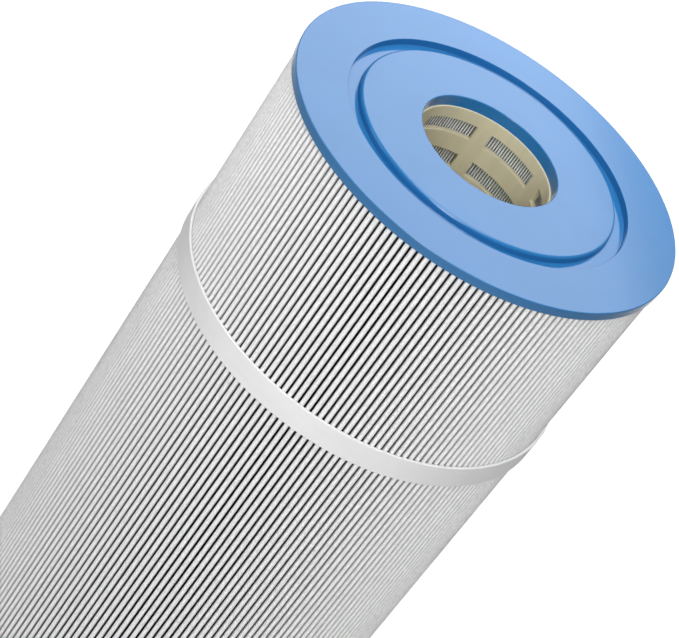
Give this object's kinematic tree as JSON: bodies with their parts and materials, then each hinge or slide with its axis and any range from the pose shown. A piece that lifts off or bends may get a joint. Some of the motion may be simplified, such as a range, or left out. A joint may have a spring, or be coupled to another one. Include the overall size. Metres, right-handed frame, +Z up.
{
  "type": "filter cartridge",
  "caption": "Pleated pool and spa filter cartridge: open moulded core inside a pleated sheet, cast end caps with a recessed ring and a round port, and straps round the pleats.",
  "frame": {"origin": "centre of the bottom end cap's face", "axes": "+Z up along the core's axis, from the bottom face to the top face; +X and +Y across it"},
  "size_m": [0.2164, 0.2164, 0.5937],
  "materials": {
    "cap_resin": "smooth cast polyurethane, satin",
    "core_plastic": "moulded, satin",
    "filter_fabric": "spun-bonded non-woven, matte",
    "seam_adhesive": "set hot-melt, satin",
    "band_plastic": "extruded, satin"
  },
  "bodies": {
    "root": {"top_end_cap": "cap_resin", "bottom_end_cap": "cap_resin", "core_section_1": "core_plastic", "core_section_2": "core_plastic", "core_section_3": "core_plastic", "core_section_4": "core_plastic", "core_section_5": "core_plastic", "pleated_media": "filter_fabric", "media_seam": "seam_adhesive", "upper_band": "band_plastic", "upper_band_splice": "seam_adhesive", "lower_band": "band_plastic", "lower_band_splice": "seam_adhesive"}
  },
  "joints": []
}
